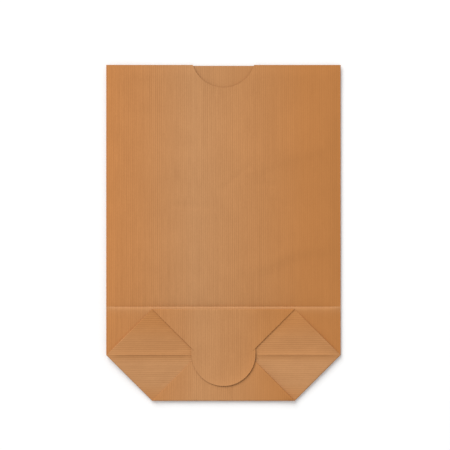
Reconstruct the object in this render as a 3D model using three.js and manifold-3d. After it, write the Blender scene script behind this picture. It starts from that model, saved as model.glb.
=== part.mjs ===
// A block bottom paper bag, laid flat as it comes from the bundle.
// One sheet of ribbed kraft is lapped and glued into a flat tube. The tube's end is opened and
// squashed into a six-sided bottom: the front ply turns back up at the bottom's centre line, the
// tube's sides turn in as two pointed tucks, and two flaps fold over the tucks towards the middle.
// The upper flap carries a round tongue, which is glued on the lower flap and closes the hole
// between the tucks. The mouth has a thumb cut in its front ply.
// Units are millimetres. X runs across the bag, Y from the bottom to the mouth, and Z up from the
// surface that the back of the bag lies on. The origin is under the middle of the bag.

import * as THREE from "three";
import { mergeVertices } from "three/addons/utils/BufferGeometryUtils.js";
import Module from "manifold-3d";

// Driving dimensions
const bagWidth = 160; // across the side folds
const bagLength = 229.4; // from the mouth to the fold of the lower flap
const bottomWidth = 62.6; // between the folds of the two flaps
const tuckReach = 58.1; // how far a tuck reaches in from the side fold
const tongueLength = 25.7; // from the end of the upper flap to the tip of its tongue
const thumbRadius = 21.8; // of the thumb cut
const thumbDepth = 15.4; // of the thumb cut, below the front ply's edge
const mouthStep = 0.6; // the front ply stands this far past the back ply at the mouth
const paper = 0.12; // thickness of the sheet
const foldGap = 0.18; // air between two plies that meet in a fold
const bond = 0.02; // how far two glued plies press into each other
const lapWidth = 12; // glued overlap of the tube's long seam
const joggle = 0.8; // width over which the inner edge of the seam steps back out
const cutBack = 0.3; // the folds draw the cut edges of the tucks back from the tongue
const scoreSetback = 2; // the score across the bag, above the fold of the upper flap
const ridgeHeight = 0.35; // the old side fold stands this high across each tuck
const puffHeight = 3; // how far the front ply stands off the back ply in the middle
const puffRun = 15; // length over which it rises above the score

// How finely curves are drawn
const foldSteps = 4; // each half turn of a fold has twice as many facets
const arcSteps = 20; // the same for the tongue and the thumb cut
const plyCells = 16; // across the front ply
const plyRows = 9; // along its upper part

// Places that follow
const halfWidth = bagWidth / 2;
const yMouth = bagLength / 2;
const yBase = -bagLength / 2;
const yCentre = yBase + bottomWidth / 2;
const yTop = yBase + bottomWidth;
const yScore = yTop + scoreSetback;
const yBackEdge = yMouth - mouthStep;
const flapReach = tuckReach - bottomWidth / 2;
const tongueHalf = halfWidth - tuckReach;
const lowerFlapEnd = yBase + flapReach;
const upperFlapEnd = yTop - flapReach;

// The plies are stacked: each level is the height of a ply's lower face
const pitch = paper + foldGap;
const level = { back: 0, front: pitch, inner: 2 * pitch, tuck: 3 * pitch };
level.hem = level.tuck + paper - bond; // glued on the tuck
level.flap = level.hem + pitch;
level.tongue = level.flap + paper - bond; // glued on the lower flap
const stackTop = level.tongue + paper + puffHeight;

// The outside radius of a fold that joins the plies at two levels
const foldRadius = (low, high) => (level[high] - level[low] + paper) / 2;
const sideRadius = foldRadius("back", "front");
const centreRadius = foldRadius("front", "inner");
const upperDiagonalRadius = foldRadius("inner", "tuck");
const lowerDiagonalRadius = foldRadius("back", "tuck");
const upperFlapRadius = foldRadius("inner", "flap");
const lowerFlapRadius = foldRadius("back", "flap");
const hemRadius = foldRadius("tuck", "hem");
const flapSideRadius = foldRadius("hem", "flap");

// Corners of the six-sided bottom and of the flaps, on the side at -X or at +X. Every slanted
// fold there runs at 45 degrees.
const slant = bottomWidth / 2;
const point = (side) => [side * halfWidth, yCentre];
const lowerCorner = (side) => [side * (halfWidth - slant), yBase];
const upperCorner = (side) => [side * (halfWidth - slant), yTop];
const lowerNeck = (side) => [side * tongueHalf, lowerFlapEnd];
const upperNeck = (side) => [side * tongueHalf, upperFlapEnd];

const smooth = (share) => {
  const t = Math.min(1, Math.max(0, share));
  return t * t * (3 - 2 * t);
};
const evenly = (from, to, cells) =>
  Array.from({ length: cells + 1 }, (_, i) => from + ((to - from) * i) / cells);

const wasm = await Module();
wasm.setup();

// A closed geometry as a solid that can be joined and cut. Its corners go to a grid that 32-bit
// numbers hold exactly, so that faces meant to be level with each other are.
const grid = 4096;
function solid(geometry) {
  const bare = geometry.clone();
  bare.deleteAttribute("normal");
  bare.deleteAttribute("uv");
  const corners = bare.attributes.position.array;
  for (let i = 0; i < corners.length; i++) corners[i] = Math.round(corners[i] * grid) / grid;
  const merged = mergeVertices(bare);
  return new wasm.Manifold(
    new wasm.Mesh({
      numProp: 3,
      vertProperties: merged.attributes.position.array,
      triVerts: new Uint32Array(merged.index.array),
    }),
  );
}

const join = (pieces) => pieces.reduce((whole, piece) => whole.add(piece));

// A solid's faces as an indexed geometry
function faces(piece) {
  const { vertProperties, triVerts } = piece.getMesh();
  const geometry = new THREE.BufferGeometry();
  geometry.setAttribute("position", new THREE.BufferAttribute(vertProperties.slice(), 3));
  geometry.setIndex(Array.from(triVerts));
  return geometry;
}

// The same solid on the other side of the bag
function mirrored(piece) {
  const geometry = faces(piece);
  const corners = geometry.index.array;
  const turned = [];
  for (let i = 0; i < corners.length; i += 3)
    turned.push(corners[i], corners[i + 2], corners[i + 1]);
  geometry.setIndex(turned);
  return solid(geometry.applyMatrix4(new THREE.Matrix4().makeScale(-1, 1, 1)));
}

// An outline, as a shape or a list of corners, raised from one height to another
function prism(outline, low, high) {
  const shape = Array.isArray(outline)
    ? new THREE.Shape(outline.map(([x, y]) => new THREE.Vector2(x, y)))
    : outline;
  const geometry = new THREE.ExtrudeGeometry(shape, {
    depth: high - low,
    bevelEnabled: false,
    curveSegments: arcSteps,
  });
  return solid(geometry.translate(0, 0, low));
}

// Moves each side of a counterclockwise outline inwards by its own distance
function inset(corners, distances) {
  const sides = corners.map(([x, y], i) => {
    const [nextX, nextY] = corners[(i + 1) % corners.length];
    const length = Math.hypot(nextX - x, nextY - y);
    const along = [(nextX - x) / length, (nextY - y) / length];
    return { x: x - along[1] * distances[i], y: y + along[0] * distances[i], along };
  });
  return sides.map((side, i) => {
    const before = sides[(i + sides.length - 1) % sides.length];
    const cross = before.along[0] * side.along[1] - before.along[1] * side.along[0];
    const reach =
      ((side.x - before.x) * side.along[1] - (side.y - before.y) * side.along[0]) / cross;
    return [before.x + before.along[0] * reach, before.y + before.along[1] * reach];
  });
}

// A flat ply: its outline, inset where folds begin, one sheet thick
const ply = (corners, distances, height) =>
  prism(inset(corners, distances), height, height + paper);

// A ply whose lower face follows a height, over a grid of stations in X and Y
function relief(xs, ys, heightAt) {
  const positions = [];
  for (const lift of [0, paper])
    for (const y of ys)
      for (const x of xs) positions.push(x, y, heightAt(x, y) + lift);
  const columns = xs.length;
  const upper = columns * ys.length;
  const index = [];
  const quad = (a, b, c, d) => index.push(a, b, c, a, c, d);
  for (let row = 0; row + 1 < ys.length; row++)
    for (let column = 0; column + 1 < columns; column++) {
      const a = row * columns + column;
      const b = a + 1;
      const c = b + columns;
      const d = a + columns;
      quad(a, d, c, b);
      quad(a + upper, b + upper, c + upper, d + upper);
    }
  for (let row = 0; row + 1 < ys.length; row++) {
    const left = row * columns;
    const right = left + columns - 1;
    quad(left, left + upper, left + columns + upper, left + columns);
    quad(right, right + columns, right + columns + upper, right + upper);
  }
  for (let column = 0; column + 1 < columns; column++) {
    const near = column;
    const far = columns * (ys.length - 1) + column;
    quad(near, near + 1, near + 1 + upper, near + upper);
    quad(far, far + upper, far + 1 + upper, far + 1);
  }
  const geometry = new THREE.BufferGeometry();
  geometry.setAttribute("position", new THREE.Float32BufferAttribute(positions, 3));
  geometry.setIndex(index);
  return solid(geometry);
}

// A fold whose nose touches a line, with its two plies to the left of the line: half a ring, with
// tabs that lie in the plies. A fold too tight for a hollow is a half round bar.
const tab = 0.4;
function fold(from, to, low, high) {
  const outer = (high - low + paper) / 2;
  const inner = outer - paper;
  const middle = low + outer;
  const quarter = Math.PI / 2;
  const shape = new THREE.Shape();
  shape.moveTo(outer + tab, middle + outer);
  shape.lineTo(outer, middle + outer);
  shape.absarc(outer, middle, outer, quarter, 3 * quarter, false);
  shape.lineTo(outer + tab, middle - outer);
  if (inner > 0) {
    shape.lineTo(outer + tab, middle - inner);
    shape.lineTo(outer, middle - inner);
    shape.absarc(outer, middle, inner, 3 * quarter, quarter, true);
    shape.lineTo(outer + tab, middle + inner);
  }
  const start = new THREE.Vector3(...from, 0);
  const along = new THREE.Vector3(...to, 0).sub(start);
  const length = along.length();
  along.normalize();
  const up = new THREE.Vector3(0, 0, 1);
  const inward = new THREE.Vector3().crossVectors(up, along);
  const geometry = new THREE.ExtrudeGeometry(shape, {
    depth: length,
    bevelEnabled: false,
    curveSegments: foldSteps,
  });
  geometry.applyMatrix4(new THREE.Matrix4().makeBasis(inward, up, along));
  return solid(geometry.translate(start.x, start.y, start.z));
}

// A section carried down the back ply, round the fold of the lower flap and along the flap. It
// holds places across the bag, each with its depth under the sheet's outer face. overrun takes it
// past the sheet's ends.
function alongBackWeb(section, overrun) {
  const stations = [{ y: yBackEdge + overrun, z: 0, turn: 0 }];
  for (let step = 0; step <= 2 * foldSteps; step++) {
    const turn = (Math.PI * step) / (2 * foldSteps);
    const y = yBase + lowerFlapRadius * (1 - Math.sin(turn));
    stations.push({ y, z: lowerFlapRadius * (1 - Math.cos(turn)), turn });
  }
  stations.push({ y: lowerFlapEnd + overrun, z: 2 * lowerFlapRadius, turn: Math.PI });
  const positions = [];
  for (const { y, z, turn } of stations)
    for (const [x, depth] of section)
      positions.push(x, y + depth * Math.sin(turn), z + depth * Math.cos(turn));
  const count = section.length;
  const index = [];
  for (let station = 0; station + 1 < stations.length; station++)
    for (let corner = 0; corner < count; corner++) {
      const a = station * count + corner;
      const b = station * count + ((corner + 1) % count);
      index.push(a, b, b + count, a, b + count, a + count);
    }
  const last = (stations.length - 1) * count;
  const outline = section.map(([x, depth]) => new THREE.Vector2(x, depth));
  for (const [a, b, c] of THREE.ShapeUtils.triangulateShape(outline, [])) {
    index.push(a, c, b);
    index.push(last + a, last + b, last + c);
  }
  const geometry = new THREE.BufferGeometry();
  geometry.setAttribute("position", new THREE.Float32BufferAttribute(positions, 3));
  geometry.setIndex(index);
  return solid(geometry);
}

// The six-sided bottom, from its point at -X, counterclockwise, as a block that trims the ends of
// the folds round it. Its sides stand just clear of the folds' noses.
const bottomBlock = prism(
  inset(
    [point(-1), lowerCorner(-1), lowerCorner(1), point(1), upperCorner(1), upperCorner(-1)],
    Array(6).fill(-paper / 4),
  ),
  -paper,
  stackTop,
);

// The back ply and the lower flap, in one web with the long seam. The outer edge of the seam
// lies flush, and the inner one steps back out beside it.
function backWeb() {
  const backPly = ply(
    [
      [-halfWidth, yBackEdge],
      point(-1),
      lowerCorner(-1),
      lowerCorner(1),
      point(1),
      [halfWidth, yBackEdge],
    ],
    [sideRadius, lowerDiagonalRadius, lowerFlapRadius, lowerDiagonalRadius, sideRadius, 0],
    level.back,
  );
  const turn = fold(lowerCorner(-1), lowerCorner(1), level.back, level.flap);
  const flap = ply(
    [lowerCorner(-1), lowerCorner(1), lowerNeck(1), lowerNeck(-1)],
    [lowerFlapRadius, flapSideRadius, 0, flapSideRadius],
    level.flap,
  );
  const lapEdge = lapWidth / 2;
  const lap = alongBackWeb(
    [
      [-lapEdge, paper / 2],
      [lapEdge + 1.5 * joggle, paper / 2],
      [lapEdge, 2 * paper],
      [-lapEdge, 2 * paper],
    ],
    0,
  );
  const groove = alongBackWeb(
    [
      [lapEdge, -paper / 2],
      [lapEdge + 1.5 * joggle, -paper / 2],
      [lapEdge, paper],
    ],
    tab,
  );
  return join([backPly, turn.intersect(bottomBlock), flap, lap]).subtract(groove);
}

// The front ply with its thumb cut. It is flat below the score and puffs up above it.
function frontPly() {
  const edge = halfWidth - sideRadius;
  const puffEdge = edge - 2 * tab;
  const heightAt = (x, y) => {
    const across = Math.min(1, Math.abs(x) / puffEdge);
    const above = Math.max(0, y - yScore);
    return level.front + puffHeight * (1 - across ** 2) * (1 - Math.exp(-above / puffRun));
  };
  const xs = [-edge, ...evenly(-puffEdge, puffEdge, plyCells), edge];
  const rise = [0, 0.06, 0.14, 0.26, 0.45, 0.75, 1.2, 1.8].map((n) => yScore + n * puffRun);
  const ys = [
    yCentre + centreRadius,
    ...rise,
    ...evenly(rise.at(-1), yMouth, plyRows).slice(1),
  ];
  const thumb = new THREE.Shape();
  thumb.absarc(0, yMouth + thumbRadius - thumbDepth, thumbRadius, 0, 2 * Math.PI, false);
  return relief(xs, ys, heightAt).subtract(
    prism(thumb, level.front - foldGap / 2, stackTop),
  );
}

// The front ply turned back up inside the bottom, as far as the fold of the upper flap
function innerPly() {
  const panel = ply(
    [point(-1), point(1), upperCorner(1), upperCorner(-1)],
    [centreRadius, upperDiagonalRadius, upperFlapRadius, upperDiagonalRadius],
    level.inner,
  );
  const turn = fold(point(-1), point(1), level.front, level.inner);
  const flapFold = fold(upperCorner(1), upperCorner(-1), level.inner, level.flap);
  return [panel, turn.intersect(bottomBlock), flapFold.intersect(bottomBlock)];
}

// The upper flap. Its tongue climbs over the edge of the lower flap.
function upperFlap() {
  const [topLeft, , , topRight] = inset(
    [upperCorner(-1), upperNeck(-1), upperNeck(1), upperCorner(1)],
    [flapSideRadius, 0, flapSideRadius, upperFlapRadius],
  );
  const yFold = topLeft[1];
  const yShoulder = yFold - (topRight[0] - tongueHalf);
  const yArc = upperFlapEnd - tongueLength + tongueHalf;
  const outline = new THREE.Shape();
  outline.moveTo(...topLeft);
  outline.lineTo(-tongueHalf, yShoulder);
  outline.absarc(0, yArc, tongueHalf, Math.PI, 2 * Math.PI, false);
  outline.lineTo(tongueHalf, yShoulder);
  outline.lineTo(...topRight);
  const climb = level.tongue - level.flap;
  const heightAt = (x, y) =>
    level.flap + climb * smooth((upperFlapEnd - y) / (upperFlapEnd - lowerFlapEnd));
  const ys = [
    yArc - tongueHalf - tab,
    ...evenly(lowerFlapEnd, upperFlapEnd, 4),
    yFold,
  ];
  const web = relief([-halfWidth, halfWidth], ys, heightAt);
  return web.intersect(prism(outline, level.flap - paper, stackTop));
}

// The tuck at -X: the side of the tube turned in, with the old side fold as a ridge across it.
// Both its ends turn over as hems, and a slanted fold joins each hem to its flap.
function tuck() {
  const cutFoot = [-tongueHalf, yBase];
  const cutHead = [-tongueHalf, yTop];
  const outline = inset(
    [point(-1), lowerCorner(-1), cutFoot, cutHead, upperCorner(-1)],
    [lowerDiagonalRadius, lowerFlapRadius, cutBack, upperFlapRadius, upperDiagonalRadius],
  );
  const ridgeRun = slant - flapReach;
  const shares = [1, 0.6, 0.3];
  const ys = [
    yBase,
    ...shares.map((share) => yCentre - share * ridgeRun),
    yCentre,
    ...shares.toReversed().map((share) => yCentre + share * ridgeRun),
    yTop,
  ];
  const heightAt = (x, y) => {
    const share = Math.min(1, Math.abs(y - yCentre) / ridgeRun);
    return level.tuck + ridgeHeight * (1 - share) ** 2;
  };
  const panel = relief([-halfWidth, -tongueHalf], ys, heightAt).intersect(
    prism(outline, level.inner, stackTop),
  );

  const lowerHem = ply(
    [lowerCorner(-1), cutFoot, lowerNeck(-1)],
    [lowerFlapRadius, cutBack, flapSideRadius],
    level.hem,
  );
  const upperHem = ply(
    [upperCorner(-1), upperNeck(-1), cutHead],
    [flapSideRadius, cutBack, upperFlapRadius],
    level.hem,
  );
  const hemStart = -(halfWidth - slant) + lowerFlapRadius;
  const hemEnd = -tongueHalf - cutBack;
  const lowerHemLine = yBase + lowerFlapRadius - hemRadius;
  const upperHemLine = yTop - upperFlapRadius + hemRadius;
  const hemTurns = [
    fold([hemStart, lowerHemLine], [hemEnd, lowerHemLine], level.tuck, level.hem),
    fold([hemEnd, upperHemLine], [hemStart, upperHemLine], level.tuck, level.hem),
  ];

  const diagonals = [
    fold(point(-1), lowerCorner(-1), level.back, level.tuck),
    fold(upperCorner(-1), point(-1), level.inner, level.tuck),
  ].map((turn) => turn.intersect(bottomBlock));

  const lowerClip = prism(
    [
      [-halfWidth, yBase + lowerFlapRadius],
      [0, yBase + lowerFlapRadius],
      [0, lowerFlapEnd - cutBack / 2],
      [-halfWidth, lowerFlapEnd - cutBack / 2],
    ],
    level.tuck,
    stackTop,
  );
  const upperClip = prism(
    [
      [-halfWidth, yBase],
      [-tongueHalf + cutBack / 2, yBase],
      [-tongueHalf + cutBack / 2, yTop - upperFlapRadius],
      [-halfWidth, yTop - upperFlapRadius],
    ],
    level.tuck,
    stackTop,
  );
  const flapSides = [
    fold(lowerNeck(-1), lowerCorner(-1), level.hem, level.flap).intersect(lowerClip),
    fold(upperCorner(-1), upperNeck(-1), level.hem, level.flap).intersect(upperClip),
  ];
  return join([panel, lowerHem, upperHem, ...hemTurns, ...diagonals, ...flapSides]);
}

// The side fold of the tube at -X, from the mouth to the bottom's point
const sideFold = fold([-halfWidth, yBackEdge], point(-1), level.back, level.front);

const leftTuck = tuck();
const bag = join([
  backWeb(),
  sideFold,
  mirrored(sideFold),
  frontPly(),
  ...innerPly(),
  leftTuck,
  mirrored(leftTuck),
  upperFlap(),
]);

// Joining and cutting leaves corners that all but coincide, and slivers between them. Corners
// closer than weld become one, and a sliver thinner than sliver shares its longest edge's other
// triangle, split the other way.
const weld = paper / 10;
const sliver = paper / 40;
function cleaned(geometry) {
  const place = geometry.attributes.position;
  const corner = (i) => new THREE.Vector3().fromBufferAttribute(place, i);
  const apart = (a, b) => corner(a).distanceTo(corner(b));
  const thickness = ([a, b, c]) => {
    const area = new THREE.Triangle(corner(a), corner(b), corner(c)).getArea();
    return (2 * area) / Math.max(apart(a, b), apart(b, c), apart(c, a));
  };
  let triangles = [];
  const index = geometry.index.array;
  for (let i = 0; i < index.length; i += 3)
    triangles.push([index[i], index[i + 1], index[i + 2]]);

  const drawTogether = () => {
    const kept = new Map();
    const keeper = (i) => {
      while (kept.has(i)) i = kept.get(i);
      return i;
    };
    for (const triangle of triangles)
      for (let k = 0; k < 3; k++) {
        const a = keeper(triangle[k]);
        const b = keeper(triangle[(k + 1) % 3]);
        if (a !== b && apart(a, b) < weld) kept.set(Math.max(a, b), Math.min(a, b));
      }
    triangles = triangles
      .map((triangle) => triangle.map(keeper))
      .filter(([a, b, c]) => a !== b && b !== c && c !== a);
    const name = (triangle) => triangle.toSorted((a, b) => a - b).join();
    const count = new Map();
    for (const triangle of triangles)
      count.set(name(triangle), (count.get(name(triangle)) ?? 0) + 1);
    triangles = triangles.filter((triangle) => count.get(name(triangle)) === 1);
  };

  const turnSlivers = () => {
    const owner = new Map();
    triangles.forEach((triangle, k) => {
      for (let e = 0; e < 3; e++) owner.set(`${triangle[e]} ${triangle[(e + 1) % 3]}`, k);
    });
    const done = new Set();
    let turned = 0;
    triangles.forEach((triangle, k) => {
      const thin = thickness(triangle);
      if (done.has(k) || thin >= sliver) return;
      const spans = [0, 1, 2].map((e) => apart(triangle[e], triangle[(e + 1) % 3]));
      const e = spans.indexOf(Math.max(...spans));
      const [a, b, c] = [0, 1, 2].map((step) => triangle[(e + step) % 3]);
      const other = owner.get(`${b} ${a}`);
      if (done.has(other)) return;
      const d = triangles[other].find((i) => i !== a && i !== b);
      const pair = [[c, a, d], [d, b, c]];
      if (owner.has(`${c} ${d}`) || owner.has(`${d} ${c}`)) return;
      if (Math.min(...pair.map(thickness)) <= thin) return;
      [triangles[k], triangles[other]] = pair;
      done.add(k).add(other);
      turned++;
    });
    return turned;
  };

  drawTogether();
  for (let round = 0; round < 20 && turnSlivers(); round++) drawTogether();
  const result = new THREE.BufferGeometry();
  result.setAttribute("position", place.clone());
  result.setIndex(triangles.flat());
  return result;
}

const kraft = new THREE.MeshStandardMaterial({
  name: "kraft_paper",
  color: 0xc18a59,
  roughness: 0.88,
  metalness: 0,
  flatShading: true,
});
const mesh = new THREE.Mesh(cleaned(faces(bag)).toNonIndexed(), kraft);
mesh.name = "paper_bag";
mesh.geometry.computeVertexNormals();

const model = new THREE.Group();
model.name = "block_bottom_paper_bag";
model.add(mesh);
export default model;
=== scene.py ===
# %% [markdown]
# # A block bottom paper bag
# The bag is one sheet of ribbed kraft paper. It lies flat on a white table and is seen from above,
# with its mouth at the top of the picture and its folded bottom at the foot. It could be built of
# thin plates laid on each other, but then every edge and every rib would have to be placed by
# hand. So the lesson cuts the sheet out flat, creases it, folds it and dresses it. Folding a real
# net keeps two things right at once: every edge lands where the paper would land, and the ribs
# turn with the paper.

import math

import bpy
import bmesh
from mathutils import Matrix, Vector, noise


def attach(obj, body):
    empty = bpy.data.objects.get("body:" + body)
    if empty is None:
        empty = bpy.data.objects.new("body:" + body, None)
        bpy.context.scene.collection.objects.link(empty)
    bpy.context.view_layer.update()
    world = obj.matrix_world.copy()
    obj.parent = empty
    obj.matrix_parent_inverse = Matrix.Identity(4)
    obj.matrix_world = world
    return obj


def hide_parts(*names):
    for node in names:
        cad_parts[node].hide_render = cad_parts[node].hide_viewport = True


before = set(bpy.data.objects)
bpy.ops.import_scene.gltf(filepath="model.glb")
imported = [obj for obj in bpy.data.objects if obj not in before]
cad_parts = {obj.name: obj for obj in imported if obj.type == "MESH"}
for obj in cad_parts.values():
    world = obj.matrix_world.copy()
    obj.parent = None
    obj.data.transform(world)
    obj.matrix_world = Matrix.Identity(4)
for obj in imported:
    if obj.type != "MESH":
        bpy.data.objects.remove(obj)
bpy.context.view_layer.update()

# %% [markdown]
# ## Sizes
# A bag maker gives the width, the length, the width of the bottom and how far the pointed tucks
# reach in, and nearly all else follows. The sizes are in millimetres, as one would measure them on
# the bag, and are turned into metres only when a mesh is made. X runs across the bag, Y towards
# its mouth, Z up.

# %% Sizes of the bag
MM = 0.001
WIDTH = 160.0  # across the side folds
LENGTH = 229.4  # from the mouth to the fold of the lower flap
BOTTOM = 62.6  # between the folds of the two flaps
TUCK_REACH = 58.1  # from the side fold to a tuck's end
TONGUE = 25.7  # from the upper flap's end to the tongue's tip
THUMB_RADIUS = 21.8
THUMB_DEPTH = 15.4
MOUTH_STEP = 0.6  # the front ply stands this far past the back ply
SCORE_UP = 1.6  # from the fold of the upper flap to the score
PAPER = 0.12  # thickness
LAP = 12.0  # the glued seam along the back
JOGGLE = 0.8  # width over which the inner lap steps up on the outer one
print("bag:", WIDTH, "by", LENGTH, "mm, bottom", BOTTOM, "mm")

# %% Places that follow
half = WIDTH / 2
slant = BOTTOM / 2
y_mouth = LENGTH / 2
y_base = -LENGTH / 2
y_centre = y_base + BOTTOM / 2
y_top = y_base + BOTTOM
y_score = y_top + SCORE_UP
y_neck = y_top - (TUCK_REACH - slant)
y_tip = y_neck - TONGUE
tongue_half = half - TUCK_REACH
print("upper fold at y", round(y_top, 1), "mm, tongue's tip at y", round(y_tip, 1), "mm")

# %% [markdown]
# ## The flat sheet
# On the real bag this is the paper as it comes off the roll. A plane with a single face couldn't
# bend, so the sheet starts as a grid with cells of 2 mm. Its front ply already lies where it will
# stay, with half of the back ply to the left and half to the right, and the flaps below.

# %% Start with a grid
CELL = 2.0
cut_y = y_centre - TUCK_REACH
net_half = WIDTH + LAP / 2
net_low = cut_y - TONGUE
net_long = y_mouth - net_low
bpy.ops.object.select_all(action="DESELECT")
bpy.ops.mesh.primitive_grid_add(
    x_subdivisions=round(2 * net_half / CELL),
    y_subdivisions=round(net_long / CELL),
    size=1.0,
    location=(0, 0, 0),
)
sheet = bpy.context.object
sheet.name = "kraft_sheet"
sheet.data.name = "kraft_sheet"
bpy.ops.object.mode_set(mode="EDIT")
bpy.ops.transform.resize(value=(2 * net_half * MM, net_long * MM, 1))
bpy.ops.transform.translate(value=(0, (y_mouth + net_low) / 2 * MM, 0))
print("flat sheet:", 2 * net_half, "by", round(net_long, 1), "mm")

# %% [markdown]
# ## Creases
# A bag machine scores the paper and presses it flat along the scores. The knife tool could draw
# the creases, but it needs a window. Bisect doesn't, and it cuts a whole straight line at once
# through the faces that are selected. So faces are picked by their place, and then cut. A few more
# lines close beside each crease let its fold be round instead of razor sharp.


# %% Helpers that pick faces and cut a line into them
def everywhere(x, y):
    return True


def pick(test):
    """Selects the faces whose middle passes the test, and counts them."""
    bpy.ops.mesh.select_mode(type="FACE")
    bpy.ops.mesh.select_all(action="DESELECT")
    mesh = bmesh.from_edit_mesh(sheet.data)
    count = 0
    for face in mesh.faces:
        centre = face.calc_center_median() / MM
        chosen = test(centre.x, centre.y)
        face.select_set(chosen)
        count += chosen
    mesh.select_flush(True)
    bmesh.update_edit_mesh(sheet.data)
    return count


def score(point, normal, where, beside=()):
    """Cuts a line through a point, square to the normal, and lines at some distances beside it."""
    for shift in (0.0, *beside, *(-b for b in beside)):
        pick(where)
        n = Vector((*normal, 0)).normalized()
        p = Vector((*point, 0)) + n * shift
        bpy.ops.mesh.bisect(plane_co=p * MM, plane_no=n, threshold=1e-6)


print("grid:", pick(everywhere), "faces")

# %% Crease lines
NEAR = (0.1, 0.3, 0.7)
NEAR_SCORE = (0.3, 0.8, 1.5, 2.5)
MARGIN = 3.0


def below_centre(x, y):
    return y < y_centre + MARGIN


for side in (-1, 1):
    score((side * half, 0), (1, 0), everywhere, NEAR)
    score((side * (half - slant), 0), (1, 0), below_centre, NEAR)
    score((side * (half + slant), 0), (1, 0), below_centre, NEAR)
    score((side * half, y_centre), (1, side), below_centre, NEAR)
    score((side * half, y_centre), (1, -side), below_centre, NEAR)
    score((side * tongue_half, 0), (1, 0), lambda x, y: y < cut_y + MARGIN)
score((0, y_centre), (0, 1), everywhere, NEAR)
score((0, y_base), (0, 1), everywhere, NEAR)
score((0, y_score), (0, 1), everywhere, NEAR_SCORE)
print("creased sheet:", pick(everywhere), "faces")

# %% Lines for the cuts and for the seam's step
score((0, cut_y), (0, 1), everywhere)
score((0, y_mouth - MOUTH_STEP), (0, 1), lambda x, y: abs(x) > half)
for x in (WIDTH - LAP / 2, WIDTH - LAP / 2 - JOGGLE):
    score((x, 0), (1, 0), lambda x, y: x > half)
print("with the lines for the cuts:", pick(everywhere), "faces")

# %% [markdown]
# ## Cuts
# A die stamps out the tongue and the thumb cut. A boolean with a cylinder would leave faces with
# many corners, so both are cut as with scissors, in short straight snips. What a snip leaves
# outside is let go of, and the next snip only crosses what is still held.

# %% A helper for round cuts
SNIPS = 30


def snip_round(centre, radius, held):
    """Cuts the lower half of a circle, and gives back a test for what is inside it."""
    for i in range(SNIPS):
        angle = math.pi + math.pi * (i + 0.5) / SNIPS
        n = (math.cos(angle), math.sin(angle))
        p = (centre[0] + n[0] * radius, centre[1] + n[1] * radius)
        score(p, n, held)
        held = lambda x, y, p=p, n=n, before=held: (
            before(x, y) and (x - p[0]) * n[0] + (y - p[1]) * n[1] < 0
        )
    return held


print("each snip turns by", 180 / SNIPS, "degrees")


# %% Cut out the tongue
def on_tongue(x, y):
    return y < cut_y and abs(x) < tongue_half


in_tongue = snip_round((0, net_low + tongue_half), tongue_half, on_tongue)
waste = pick(lambda x, y: y < cut_y and not in_tongue(x, y))
bpy.ops.mesh.delete(type="FACE")
print("cut away beside the tongue:", waste, "faces")

# %% Cut out the thumb cut
thumb_y = y_mouth + THUMB_RADIUS - THUMB_DEPTH


def near_thumb(x, y):
    return abs(x) < THUMB_RADIUS + 2 and y > y_mouth - THUMB_DEPTH - 4


waste = pick(snip_round((0, thumb_y), THUMB_RADIUS, near_thumb))
bpy.ops.mesh.delete(type="FACE")
print("cut out of the front ply's mouth:", waste, "faces")

# %% Trim the back ply's mouth
waste = pick(lambda x, y: abs(x) > half and y > y_mouth - MOUTH_STEP)
bpy.ops.mesh.delete(type="FACE")
bpy.ops.mesh.select_all(action="SELECT")
bpy.ops.mesh.remove_doubles(threshold=2e-6)
bpy.ops.object.mode_set(mode="OBJECT")
print("trimmed:", waste, "faces, left:", len(sheet.data.polygons))

# %% [markdown]
# ## The map of the flat sheet
# The ribs of the paper run along the roll, and they run on over every fold. A pattern on the
# bag's own X and Y would run straight through the folds. So the flat shape is kept as a UV map
# now, before the folding, and the ribs are drawn along it later.

# %% Keep the flat shape as the UV map
NET = 360.0
uv = sheet.data.uv_layers.new(name="flat_sheet")
for loop in sheet.data.loops:
    spot = sheet.data.vertices[loop.vertex_index].co / MM
    uv.data[loop.index].uv = (spot.x / NET + 0.5, spot.y / NET + 0.55)
print("UV map:", len(uv.data), "corners, 1 unit is", NET, "mm")

# %% [markdown]
# ## Folding
# A flat fold is a mirror: past a crease, the paper's place is its mirror image in the crease. One
# could turn the panels one after another with the rotate tool, but a squashed bottom folds several
# creases at once. So each panel of the bag has a short rule that takes a point of the flat sheet
# to its place. Two panels agree along the crease that they share, and the sheet stays whole. The
# ends of the tucks are let a little further in, under the tongue, so that no slit shows beside it.


# %% Which panel a point of the sheet belongs to
def panel_at(u, v):
    a, w = abs(u), y_centre - v
    if w < 0:
        return "front" if a < half else "back"
    if w > TUCK_REACH:
        return "flap"
    if a < half - w:
        return "inner" if w < slant else "flap"
    if a > half + w:
        return "back" if w < slant else "lower_flap"
    if a < half - slant:
        return "upper_hem"
    if a > half + slant:
        return "lower_hem"
    return "tuck"


print("20 mm down the side fold:", panel_at(half, y_centre - 20))

# %% Where each panel goes
TUCK_IN = 0.4
TUCK_IN_OVER = 4.0


def folded(panel, u, v):
    side = 1 if u > 0 else -1
    a, w = abs(u), y_centre - v
    if panel == "front":
        return u, v
    if panel == "back":
        return side * (WIDTH - a), v
    if panel == "inner":
        return u, y_centre + w
    if panel == "flap":
        return u, 2 * y_top - y_centre - w
    if panel == "lower_flap":
        return side * (WIDTH - a), 2 * y_base - v
    further = TUCK_IN * max(0.0, w - TUCK_REACH + TUCK_IN_OVER) / TUCK_IN_OVER
    x, y = side * (half - w - further), y_centre + half - a
    if panel == "upper_hem":
        y = 2 * y_top - y
    if panel == "lower_hem":
        y = 2 * y_base - y
    return x, y


tip = folded("flap", 0, net_low)
print("the tongue's tip goes from y", round(net_low, 1), "to", round(tip[1], 1), "mm")

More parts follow.
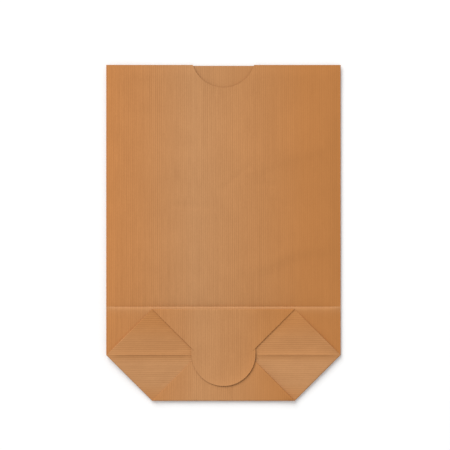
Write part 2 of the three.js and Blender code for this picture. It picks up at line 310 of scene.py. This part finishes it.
# %% [markdown]
# ## Heights
# The plies lie on each other, so each panel also has a height. Paper never lies dead flat, and what
# we see from above is mostly how it doesn't. A cloth simulation could lift the plies, but it would
# stretch the paper and blur its folds. So each lift is a small rule of its own: the rim's curl, the
# air under the front ply, its wrinkles, the valley of the score, and the spring of the edges. The
# lengths in these rules are millimetres too.


# %% A soft step
def ease(t):
    """Rises softly from 0 to 1."""
    t = min(1.0, max(0.0, t))
    return t * t * (3 - 2 * t)


print("soft step at a quarter:", ease(0.25))

# %% [markdown]
# The whole bag curls up at its rim, most at the left, as paper from a roll does. That lets the
# soft shadow in under its edges.

# %% The rim's curl
CURL = {  # how high, how far from the middle it starts, and over which length it rises
    "left": (3.3, 20, 66),
    "right": (1.5, 26, 60),
    "foot": (1.3, -y_centre - 8, 42),
    "mouth": (1.6, 60, 60),
}


def curl(x, y):
    """How high the whole bag lies above the table."""
    out = {"left": -x, "right": x, "foot": -y, "mouth": y}
    lifts = [high * ease((out[side] - start) / run) for side, (high, start, run) in CURL.items()]
    return sum(lift**3 for lift in lifts) ** (1 / 3)


print("curl at the left edge:", round(curl(-half, 0), 2), "mm")

# %% [markdown]
# The front ply isn't pressed on the back ply. The air between them lifts it from the score on, and
# it comes down again to the side folds and the mouth.

# %% Air under the front ply
PUFF = 3.0
PUFF_RISE = 22.0
PUFF_FALL, PUFF_FALL_FROM, PUFF_FALL_OVER = 0.97, 45.0, 58.0
FLAT_AT_SIDE = 0.9


def puff(x, y):
    """How far the front ply stands off the back ply."""
    across = min(1.0, abs(x) / (half - FLAT_AT_SIDE))
    above = max(0.0, y - y_score)
    mouth = 1 - PUFF_FALL * ease((y - PUFF_FALL_FROM) / PUFF_FALL_OVER)
    return PUFF * mouth * (1 - across**3) * (1 - math.exp(-above / PUFF_RISE))


print("air in the middle:", round(puff(0, 0), 2), "mm, at the mouth:", round(puff(0, y_mouth), 2))

# %% [markdown]
# Handling leaves wrinkles. The front ply carries two long soft ones and a few short dents, and it
# waves a little everywhere. They could be sculpted, but a rule can be read and changed: past a
# wrinkle the paper steps up, and on it it dips.

# %% Waves and wrinkles of the front ply
WAVES = [  # height, size across and along the bag, lean, and where in the noise it lies
    (0.4, 44, 70, 0.0, 3.1),
    (0.12, 16, 42, 0.5, 8.7),
]
WRINKLES = [  # points of the line, step up, dip, width
    ([(24, -28), (36, -21.5), (47, -16.5), (62, -13.2), (80, -12)], 0.8, 0.0, 3.5),
    ([(26, 39), (34, 43), (45, 47.8), (61, 51.9), (75, 57)], 0.35, 0.1, 2.8),
    ([(-1, 29.4), (8, 37.6), (16, 45)], 0.1, 0.3, 1.4),
    ([(25, 33.5), (33, 32)], 0.0, 0.22, 1.4),
    ([(36, 21.9), (41, 18.5)], 0.0, 0.18, 1.4),
    ([(-32, 19.1), (-14, 17.8)], 0.1, 0.3, 1.4),
]
FADE = 22.0


def between(points, x):
    """The height at x of a line drawn through points."""
    for (x0, y0), (x1, y1) in zip(points, points[1:]):
        if x <= x1:
            return y0 + (y1 - y0) * max(0.0, x - x0) / (x1 - x0)
    return points[-1][1]


def wrinkles(x, y):
    total = 0.0
    for high, across, along, lean, seed in WAVES:
        wave = noise.noise(Vector(((x + lean * y) / across, y / along, seed)))
        total += high * wave * ease((half - abs(x)) / FADE)
    for line, step, dip, width in WRINKLES:
        past_end = max(0.0, line[0][0] - x, x - line[-1][0]) / (3 * width)
        above = (y - between(line, x)) / width
        up = 0.5 * (1 + math.tanh(above)) * math.exp(-max(0.0, above) * width / FADE)
        shown = math.exp(-past_end * past_end) * ease((half + 2 - abs(x)) / 12)
        total += shown * (step * up - dip * math.exp(-above * above))
    return total * ease((y - y_score) / 30)


print("above the first wrinkle:", round(wrinkles(50, -10), 2), "mm")
print("below it:", round(wrinkles(50, -22), 2), "mm")

# %% [markdown]
# The score is pressed into all the plies at once. The paper rises out of this valley on both
# sides, steeply below it and softly above.

# %% The valley of the score
ABOVE_SCORE = 0.5
BELOW_SCORE = 1.3


def swell(x, y):
    off = abs(y - y_score)
    inside = ease(min(half - abs(x), y_mouth - y, y - y_base) / 7)
    if y > y_score:
        return ABOVE_SCORE * (1 - math.exp(-off / 2)) * inside
    return BELOW_SCORE * (1 - math.exp(-off)) * math.exp(-off / 16) * inside


print("2 mm above the score:", round(swell(0, y_score + 2), 2), "mm")
print("2 mm below it:", round(swell(0, y_score - 2), 2), "mm")

# %% [markdown]
# The tucks and the flaps are glued only in places, so their edges spring up. Most of them do so
# more at the right than at the left. Each rule needs to know how far a point is from the edge.


# %% Distances to the edges of the flaps
def to_line(x, y, start, end):
    """The distance to a stretch of line."""
    dx, dy = end[0] - start[0], end[1] - start[1]
    t = ((x - start[0]) * dx + (y - start[1]) * dy) / (dx * dx + dy * dy)
    t = min(1.0, max(0.0, t))
    return math.hypot(x - start[0] - t * dx, y - start[1] - t * dy)


def side_of_flap(x, y):
    """How far a point is from the slanted side of a flap."""
    out = min(y - y_base, y_top - y)
    return to_line(abs(x), out, (half - slant, 0), (tongue_half, TUCK_REACH - slant))


def side_of_tongue(x, y):
    """How far a point is inside the edge of the tongue."""
    if y > y_tip + tongue_half:
        return tongue_half - abs(x)
    return tongue_half - math.hypot(x, y - y_tip - tongue_half)


print("the tongue is", round(2 * side_of_tongue(0, y_neck), 1), "mm wide")

# %% [markdown]
# A tuck is the side of the bag laid flat, so its old side fold stands up along its middle as a
# ridge. Beside the ridge it domes a little, and its upper slanted fold springs up.

# %% Lift of the tucks
RIDGE = 0.9
RIDGE_ABOVE, RIDGE_BELOW = 2.6, 1.2  # the ridge falls softly above and steeply below
DOME = 0.5


def rightness(x):
    """0 at the left and 1 at the right, with a soft step in the middle."""
    return ease((x + 20) / 40)


def tuck_lift(x, y):
    off, upper = abs(y - y_centre), y > y_centre
    shown = ((abs(x) + min(y - y_base, y_top - y) - half + slant) / math.sqrt(2) - 1) / 8
    ridge = RIDGE * math.exp(-off / (RIDGE_ABOVE if upper else RIDGE_BELOW))
    dome = DOME * ease(off / 12) * ease((slant - off) / 16)
    edge = (0.05 + 0.5 * rightness(x)) * ease(off / 6) if upper else 0.0
    edge *= math.exp(-max(0.0, half - off - abs(x)) / 5)
    return ((ridge + dome) * ease((half - abs(x)) / 8) + edge) * ease(shown)


print("on the right ridge:", round(tuck_lift(60, y_centre), 2), "mm")

# %% [markdown]
# The flaps spring up along their slanted sides. The tongue does so all round, and in a narrower
# band, because the glue in its middle holds it. The lower flap stays down under the tongue.


# %% Lift of the flaps
def lower_flap_lift(x, y):
    clear_of_tongue = ease(-side_of_tongue(x, y) / 8)
    strong = 0.05 + 1.5 * rightness(x) * clear_of_tongue
    return strong * math.exp(-side_of_flap(x, y) / 4)


def upper_flap_lift(x, y):
    away = side_of_flap(x, y)
    if y < y_neck:
        away = min(away, max(0.0, side_of_tongue(x, y)))
    tongue = ease((y_neck + 2 - y) / 8)
    corner = 0.4 + 0.6 * ease((y_top - y) / 20)
    right = rightness(x)
    strong = (0.5 - 0.1 * right) * corner * (1 - tongue) + (0.6 + 0.5 * right) * tongue
    return strong * math.exp(-away / (8 - 5 * tongue))


print("at the tongue's tip:", round(upper_flap_lift(0, y_tip), 2), "mm")

# %% [markdown]
# Now the plies are stacked. Two plies that aren't glued are a pitch apart, and two that are glued
# lie paper on paper. The tongue climbs from the tucks onto the lower flap.

# %% Height of each panel
PITCH = 0.30
GLUED = PAPER + 0.005
THUMB_LIP = 0.65


def seam(u):
    """The inner lap of the back's seam steps up on the outer one."""
    return GLUED * ease((u - (WIDTH - LAP / 2 - JOGGLE)) / JOGGLE)


def lip(x, y):
    """The front ply stands up along the left of the thumb cut."""
    away = max(0.0, math.hypot(x, y - thumb_y) - THUMB_RADIUS)
    return THUMB_LIP * ease((-3 - x) / 14) * math.exp(-away / 4)


def height(panel, u, x, y):
    """The height of the middle of the paper, without the rim's curl."""
    level = PAPER / 2
    if panel == "back":
        return level + seam(u)
    level += swell(x, y)
    if panel == "front":
        return level + PITCH + puff(x, y) + wrinkles(x, y) + lip(x, y)
    if panel == "inner":
        return level + 2 * PITCH
    level += 3 * PITCH
    if panel == "tuck":
        return level + tuck_lift(x, y)
    level += GLUED
    if panel in ("upper_hem", "lower_hem"):
        return level
    level += PITCH
    if panel == "lower_flap":
        return level - seam(u) + lower_flap_lift(x, y)
    climb = ease((y_neck - y) / (y_neck - y_base - TUCK_REACH + slant))
    return level + GLUED * climb + upper_flap_lift(x, y)


for name in ("back", "front", "inner", "tuck", "upper_hem", "flap"):
    print(name, "at 45, -60:", round(height(name, 0, 45, -60), 2), "mm")

# %% [markdown]
# ## Tone and painted light
# The kraft's own brown is overlaid here with painted light and shade. A painted sheen keeps it
# palest down the middle and on the tucks. Painted light makes it warmer and lighter at the left,
# and painted shade makes it deeper at the right and towards the upper and lower ends of the tucks.
# A painted highlight makes it pale along the score. A picture could carry these soft changes, but
# they follow the folded bag and not the roll. So they are kept as a colour on each vertex. Its
# alpha says how
# strongly the grain shows: the paper looks smoother towards the right.

# %% Tones of the paper, with painted sheen, painted light and painted shade
# the pale tone carries a painted sheen, the warm tone is painted lighter as if lit from the left,
# and the deep tone carries painted shade for the right and the tucks' ends
SHEEN_PALE = Vector((0.508, 0.247, 0.101))
LIT_WARM = Vector((0.517, 0.193, 0.046))
SHADED_DEEP = Vector((0.477, 0.191, 0.052))
# a painted highlight, laid along the lit slope just below the score
SCORE_HIGHLIGHT = Vector((0.56, 0.296, 0.138))
SCORE_HIGHLIGHT_OVER = 1.8
LIT_WARM_UP_TO = -20
# how far, across the bag, the painted sheen gives way to painted light at the left and painted
# shade at the right
SHEEN_OFF_ACROSS = [(-80, 0.7), (-58, 0.5), (LIT_WARM_UP_TO, 0.0), (18, 0.45), (55, 0.92), (80, 1.0)]
SMOOTHER = 0.4
print("tones:", len(SHEEN_OFF_ACROSS), "places across, from x", SHEEN_OFF_ACROSS[0][0], "to", SHEEN_OFF_ACROSS[-1][0])


# %% Tone, painted light and grain of a point
def colour_and_painted_light_of(panel, x, y):
    # painted sheen and painted shade: the tucks stay pale by the ridge and darken towards their
    # upper and lower ends, where shade falls between the plies
    if panel in ("tuck", "upper_hem", "lower_hem"):
        off = y - y_centre
        if off > 0:
            return SHEEN_PALE.lerp(SHADED_DEEP, 0.35 + 0.4 * ease((off - 8) / 16))
        return SHEEN_PALE.lerp(SHADED_DEEP, 0.35 * ease((off + 6) / 6) + 0.5 * ease((-off - 18) / 12))
    strong = between(SHEEN_OFF_ACROSS, x)
    # painted shade: the flaps darken away from their middle, where the painted sheen fades
    if "flap" in panel:
        strong += 0.15 * ease(abs(x) / 20 - 0.5)
    colour = SHEEN_PALE.lerp(LIT_WARM if x < LIT_WARM_UP_TO else SHADED_DEEP, strong)
    # painted highlight: a lighter tone on the lit slope just below the score
    if panel == "front" and y < y_score:
        colour = colour.lerp(SCORE_HIGHLIGHT, 0.6 * math.exp((y - y_score) / SCORE_HIGHLIGHT_OVER))
    return colour


def grain_of(panel, u):
    return 1.0 if panel == "tuck" else 1 - SMOOTHER * ease((u - 5) / 60)


print("middle:", [round(c, 3) for c in colour_and_painted_light_of("front", 0, 0)])
print("right side:", [round(c, 3) for c in colour_and_painted_light_of("front", half, 0)])

# %% [markdown]
# ## Round folds
# A fold of thin paper is a small half tube. The bevel tool has no room where two plies lie on each
# other. So two panels that meet in a crease, at different heights, both bend towards the height in
# the middle along a quarter circle. For that the fold needs to know how far a point of the flat
# sheet is from the crease.


# %% Distances to the creases
def slanted(u, v, top, end):
    return to_line(abs(u), v, (top, y_base), (end, cut_y))


creases = {
    ("front", "back"): lambda u, v: abs(abs(u) - half),
    ("front", "inner"): lambda u, v: abs(v - y_centre),
    ("inner", "flap"): lambda u, v: abs(v - y_base),
    ("back", "lower_flap"): lambda u, v: abs(v - y_base),
    ("inner", "tuck"): lambda u, v: abs(abs(u) - half + y_centre - v) / math.sqrt(2),
    ("flap", "upper_hem"): lambda u, v: slanted(u, v, half - slant, tongue_half),
    ("back", "tuck"): lambda u, v: abs(abs(u) - half - y_centre + v) / math.sqrt(2),
    ("lower_flap", "lower_hem"): lambda u, v: slanted(u, v, half + slant, WIDTH - tongue_half),
    ("tuck", "upper_hem"): lambda u, v: abs(abs(u) - half + slant),
    ("tuck", "lower_hem"): lambda u, v: abs(abs(u) - half - slant),
}
print("creases:", len(creases))

# %% The place of a point
SHARPEST = 0.12


def place(panel, u, v):
    x, y = folded(panel, u, v)
    z = own = height(panel, u, x, y)
    for pair, distance in creases.items():
        if panel not in pair:
            continue
        other = pair[0] if panel == pair[1] else pair[1]
        middle = (own + height(other, u, x, y)) / 2
        away = distance(u, v) / max(SHARPEST, abs(middle - own))
        if away < 1:
            z += (middle - own) * (1 - math.sqrt(1 - (1 - away) ** 2))
    return Vector((x, y, z + curl(x, y)))


print("middle of the front ply:", [round(c, 2) for c in place("front", 0, 0)])

# %% [markdown]
# A vertex on a crease belongs to two panels or more. It goes to the middle of the places that they
# give it, and gets the middle of their colours.

# %% Fold and colour the sheet
mesh = sheet.data
# this vertex colour carries the paper's tone with its painted sheen, painted light and painted
# shade
tones_and_painted_light = mesh.color_attributes.new("kraft_colour_and_painted_light", "FLOAT_COLOR", "POINT")
panels = [set() for _ in mesh.vertices]
for face in mesh.polygons:
    centre = face.center / MM
    name = panel_at(centre.x, centre.y)
    for i in face.vertices:
        panels[i].add(name)
for vertex in mesh.vertices:
    u, v = vertex.co.x / MM, vertex.co.y / MM
    names = sorted(panels[vertex.index])
    spots = [place(name, u, v) for name in names]
    vertex.co = sum(spots, Vector()) / len(spots) * MM
    colours = [colour_and_painted_light_of(name, *folded(name, u, v)) for name in names]
    colour = sum(colours, Vector()) / len(colours)
    tones_and_painted_light.data[vertex.index].color = (*colour, grain_of(names[0], u))
mesh.update()
highest = max(vertex.co.z for vertex in mesh.vertices) / MM
print("folded: the highest point is at", round(highest, 2), "mm")

# %% [markdown]
# ## Thickness
# The paper is 0.12 mm thick, and its edge shows at the mouth and at the tongue. An extrusion along
# the normals could give it that, but its lower side would then have to be turned round. Solidify
# does both, with half of the thickness on each side of the drawn surface.

# %% Give the paper its thickness
SOFT_UP_TO = math.radians(40)
bpy.ops.object.select_all(action="DESELECT")
sheet.select_set(True)
bpy.context.view_layer.objects.active = sheet
thicken = sheet.modifiers.new("thickness", "SOLIDIFY")
thicken.thickness = PAPER * MM
thicken.offset = 0
bpy.ops.object.modifier_apply(modifier=thicken.name)
bpy.ops.object.shade_smooth_by_angle(angle=SOFT_UP_TO)
print("bag:", sum(len(f.vertices) - 2 for f in sheet.data.polygons), "triangles")

# %% [markdown]
# ## Kraft paper
# Ribbed kraft is brown, matt and finely striped. The stripes are pressed in lines about 1.4 mm
# apart, and they wander in strength. Fibres make a finer, softer grain, and the pulp clouds the
# colour. A picture of paper could be laid on, but a pattern made by nodes stays sharp at any size.
# It is drawn in millimetres along the flat sheet, so it turns at every fold.

# %% Start the kraft
kraft = bpy.data.materials.new("ribbed_kraft")
kraft.use_nodes = True
nodes, links = kraft.node_tree.nodes, kraft.node_tree.links
nodes.clear()
finish = nodes.new("ShaderNodeOutputMaterial")
paper = nodes.new("ShaderNodeBsdfPrincipled")
paper.inputs["Roughness"].default_value = 0.85
paper.inputs["Specular IOR Level"].default_value = 0.25
links.new(paper.outputs["BSDF"], finish.inputs["Surface"])
net_map = nodes.new("ShaderNodeUVMap")
net_map.uv_map = "flat_sheet"
in_mm = nodes.new("ShaderNodeMapping")
in_mm.inputs["Scale"].default_value = (NET, NET, 1)
links.new(net_map.outputs["UV"], in_mm.inputs["Vector"])
print("material:", kraft.name)


# %% Helpers for patterns
def stretched(scale):
    """The flat sheet's millimetres. A small scale draws a pattern out long."""
    node = nodes.new("ShaderNodeMapping")
    node.inputs["Scale"].default_value = scale
    links.new(in_mm.outputs["Vector"], node.inputs["Vector"])
    return node.outputs["Vector"]


def cloud(size, scale, detail):
    node = nodes.new("ShaderNodeTexNoise")
    node.inputs["Scale"].default_value = size
    node.inputs["Detail"].default_value = detail
    links.new(stretched(scale), node.inputs["Vector"])
    return node.outputs["Fac"]


def calculate(operation, *values):
    """A Math node. Each value is a number or another node's output."""
    node = nodes.new("ShaderNodeMath")
    node.operation = operation
    for socket, value in zip(node.inputs, values):
        if isinstance(value, float):
            socket.default_value = value
        else:
            links.new(value, socket)
    return node.outputs[0]


def weighed(parts):
    total = 0.0
    for source, weight in parts:
        total = calculate("MULTIPLY_ADD", source, weight, total)
    return total


print("nodes so far:", len(nodes))

# %% [markdown]
# A Wave texture of scale 1 repeats about every 0.314 units, so the scale of the ribs is that over
# their pitch. A slow cloud, drawn out along the ribs, makes them wander in strength.

# %% Ribs, streaks, fibres and pulp
RIB_PITCH = 1.42
WAVE_REPEAT = 0.314
ribs = nodes.new("ShaderNodeTexWave")
ribs.wave_type = "BANDS"
ribs.bands_direction = "X"
ribs.inputs["Scale"].default_value = WAVE_REPEAT / RIB_PITCH
ribs.inputs["Distortion"].default_value = 1.5
ribs.inputs["Detail"].default_value = 1.0
ribs.inputs["Detail Scale"].default_value = 0.5
links.new(stretched((1, 0.02, 1)), ribs.inputs["Vector"])
swing = calculate("SUBTRACT", ribs.outputs["Fac"], 0.5)
pressed = calculate("MULTIPLY", swing, cloud(0.09, (1, 0.03, 1), 1))
streaks = cloud(0.9, (1, 0.01, 1), 1)
broken = cloud(0.9, (1, 0.1, 1), 1)
fibres = cloud(1.4, (1, 0.4, 1), 3)
pulp = cloud(0.05, (1, 1, 1), 2)
print("ribs every", RIB_PITCH, "mm")

# %% [markdown]
# The patterns are weighed into one grain, from dark to pale. It is multiplied with the bag's tone
# and its painted sheen, light and shade, as far as the tone's alpha says. Multiplying keeps the hue
# of the tone, where adding would grey it.

# %% Colour the paper with grain, tone and painted light
shade = weighed([(pressed, 0.35), (streaks, 0.28), (broken, 0.2), (fibres, 0.24), (pulp, 0.2)])
grain = nodes.new("ShaderNodeValToRGB")
dark_end, pale_end = grain.color_ramp.elements
dark_end.position, dark_end.color = 0.25, (0.88, 0.86, 0.84, 1)
pale_end.position, pale_end.color = 0.72, (1.14, 1.165, 1.19, 1)
links.new(shade, grain.inputs["Fac"])
# the vertex colour brings in the tone with its painted sheen, painted light and painted shade
tone = nodes.new("ShaderNodeVertexColor")
tone.layer_name = "kraft_colour_and_painted_light"
grain_on_tone_and_light = nodes.new("ShaderNodeMix")
grain_on_tone_and_light.data_type = "RGBA"
grain_on_tone_and_light.blend_type = "MULTIPLY"
links.new(tone.outputs["Alpha"], grain_on_tone_and_light.inputs[0])
links.new(tone.outputs["Color"], grain_on_tone_and_light.inputs[6])
links.new(grain.outputs["Color"], grain_on_tone_and_light.inputs[7])
links.new(grain_on_tone_and_light.outputs[2], paper.inputs["Base Color"])
print("grain, green part:", round(dark_end.color[1], 2), "to", round(pale_end.color[1], 2))

# %% [markdown]
# The ribs can also be felt. Modelled in the mesh, they would take millions of faces, so a Bump
# node only tilts the light on them.

# %% Relief of the ribs and fibres
RELIEF = 0.05
relief = nodes.new("ShaderNodeBump")
relief.inputs["Strength"].default_value = 0.5
relief.inputs["Distance"].default_value = RELIEF * MM
felt = weighed([(ribs.outputs["Fac"], 0.6), (streaks, 0.6), (fibres, 0.5)])
links.new(felt, relief.inputs["Height"])
links.new(relief.outputs["Normal"], paper.inputs["Normal"])
sheet.data.materials.clear()
sheet.data.materials.append(kraft)
print("nodes in the kraft:", len(nodes))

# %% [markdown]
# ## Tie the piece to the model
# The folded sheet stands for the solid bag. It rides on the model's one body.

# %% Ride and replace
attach(sheet, "root")
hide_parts("paper_bag")
print("kraft_sheet stands for paper_bag")

# %% [markdown]
# ## Table
# The bag is photographed on plain white. A pure white table would clip, and the soft shadows would
# drown in it. So the table is a little darker, and a faint glow that only the camera sees lifts it
# back to white.

# %% White table
WHITE = 0.9
GLOW = 0.09
bpy.ops.object.select_all(action="DESELECT")
bpy.ops.mesh.primitive_plane_add(size=6, location=(0, 0, -0.0002))
table = bpy.context.object
table.name = "table"
white = bpy.data.materials.new("white_table")
white.use_nodes = True
# from the next line on, calculate adds its nodes to the table's material
nodes, links = white.node_tree.nodes, white.node_tree.links
surface = nodes["Principled BSDF"]
surface.inputs["Base Color"].default_value = (WHITE, WHITE, WHITE, 1)
surface.inputs["Roughness"].default_value = 0.9
seen = nodes.new("ShaderNodeLightPath")
glow = nodes.new("ShaderNodeEmission")
strength = calculate("MULTIPLY", seen.outputs["Is Camera Ray"], GLOW)
links.new(strength, glow.inputs["Strength"])
both = nodes.new("ShaderNodeAddShader")
links.new(surface.outputs["BSDF"], both.inputs[0])
links.new(glow.outputs["Emission"], both.inputs[1])
links.new(both.outputs["Shader"], nodes["Material Output"].inputs["Surface"])
table.data.materials.append(white)
print("table:", WHITE, "white and", GLOW, "glow")

# %% [markdown]
# ## Light
# The shadows lie to the lower right and are soft, so one broad lamp stands at the upper left, like
# a window. The white room fills the rest. A small lamp would draw every edge too hard.

# %% Window and room
WINDOW = Vector((-1.8, 2.7, 3.3))
lamp = bpy.data.lights.new("window", "AREA")
lamp.size = 3.6
lamp.energy = 174
window = bpy.data.objects.new("window", lamp)
window.location = WINDOW
window.rotation_euler = WINDOW.to_track_quat("Z", "Y").to_euler()
bpy.context.scene.collection.objects.link(window)
room = bpy.data.worlds.new("studio")
room.use_nodes = True
background = room.node_tree.nodes["Background"]
background.inputs["Color"].default_value = (1, 1, 1, 1)
background.inputs["Strength"].default_value = 0.57
bpy.context.scene.world = room
print("window:", lamp.energy, "W at", round(WINDOW.length, 2), "m")

# %% [markdown]
# ## Camera
# The photograph looks straight down from far away, so nothing leans. The lens follows from the
# distance and from the width of the picture, measured on the table.

# %% Camera
PICTURE = 307.6
DISTANCE = 3.0
SENSOR = 36
lens = bpy.data.cameras.new("camera")
lens.sensor_width = SENSOR
lens.lens = SENSOR * DISTANCE / (PICTURE * MM)
lens.clip_end = 20
camera = bpy.data.objects.new("camera", lens)
camera.location = (1.05 * MM, 5.36 * MM, DISTANCE)
bpy.context.scene.collection.objects.link(camera)
bpy.context.scene.camera = camera
bpy.context.scene.view_settings.view_transform = "Standard"
print("lens:", round(lens.lens), "mm")
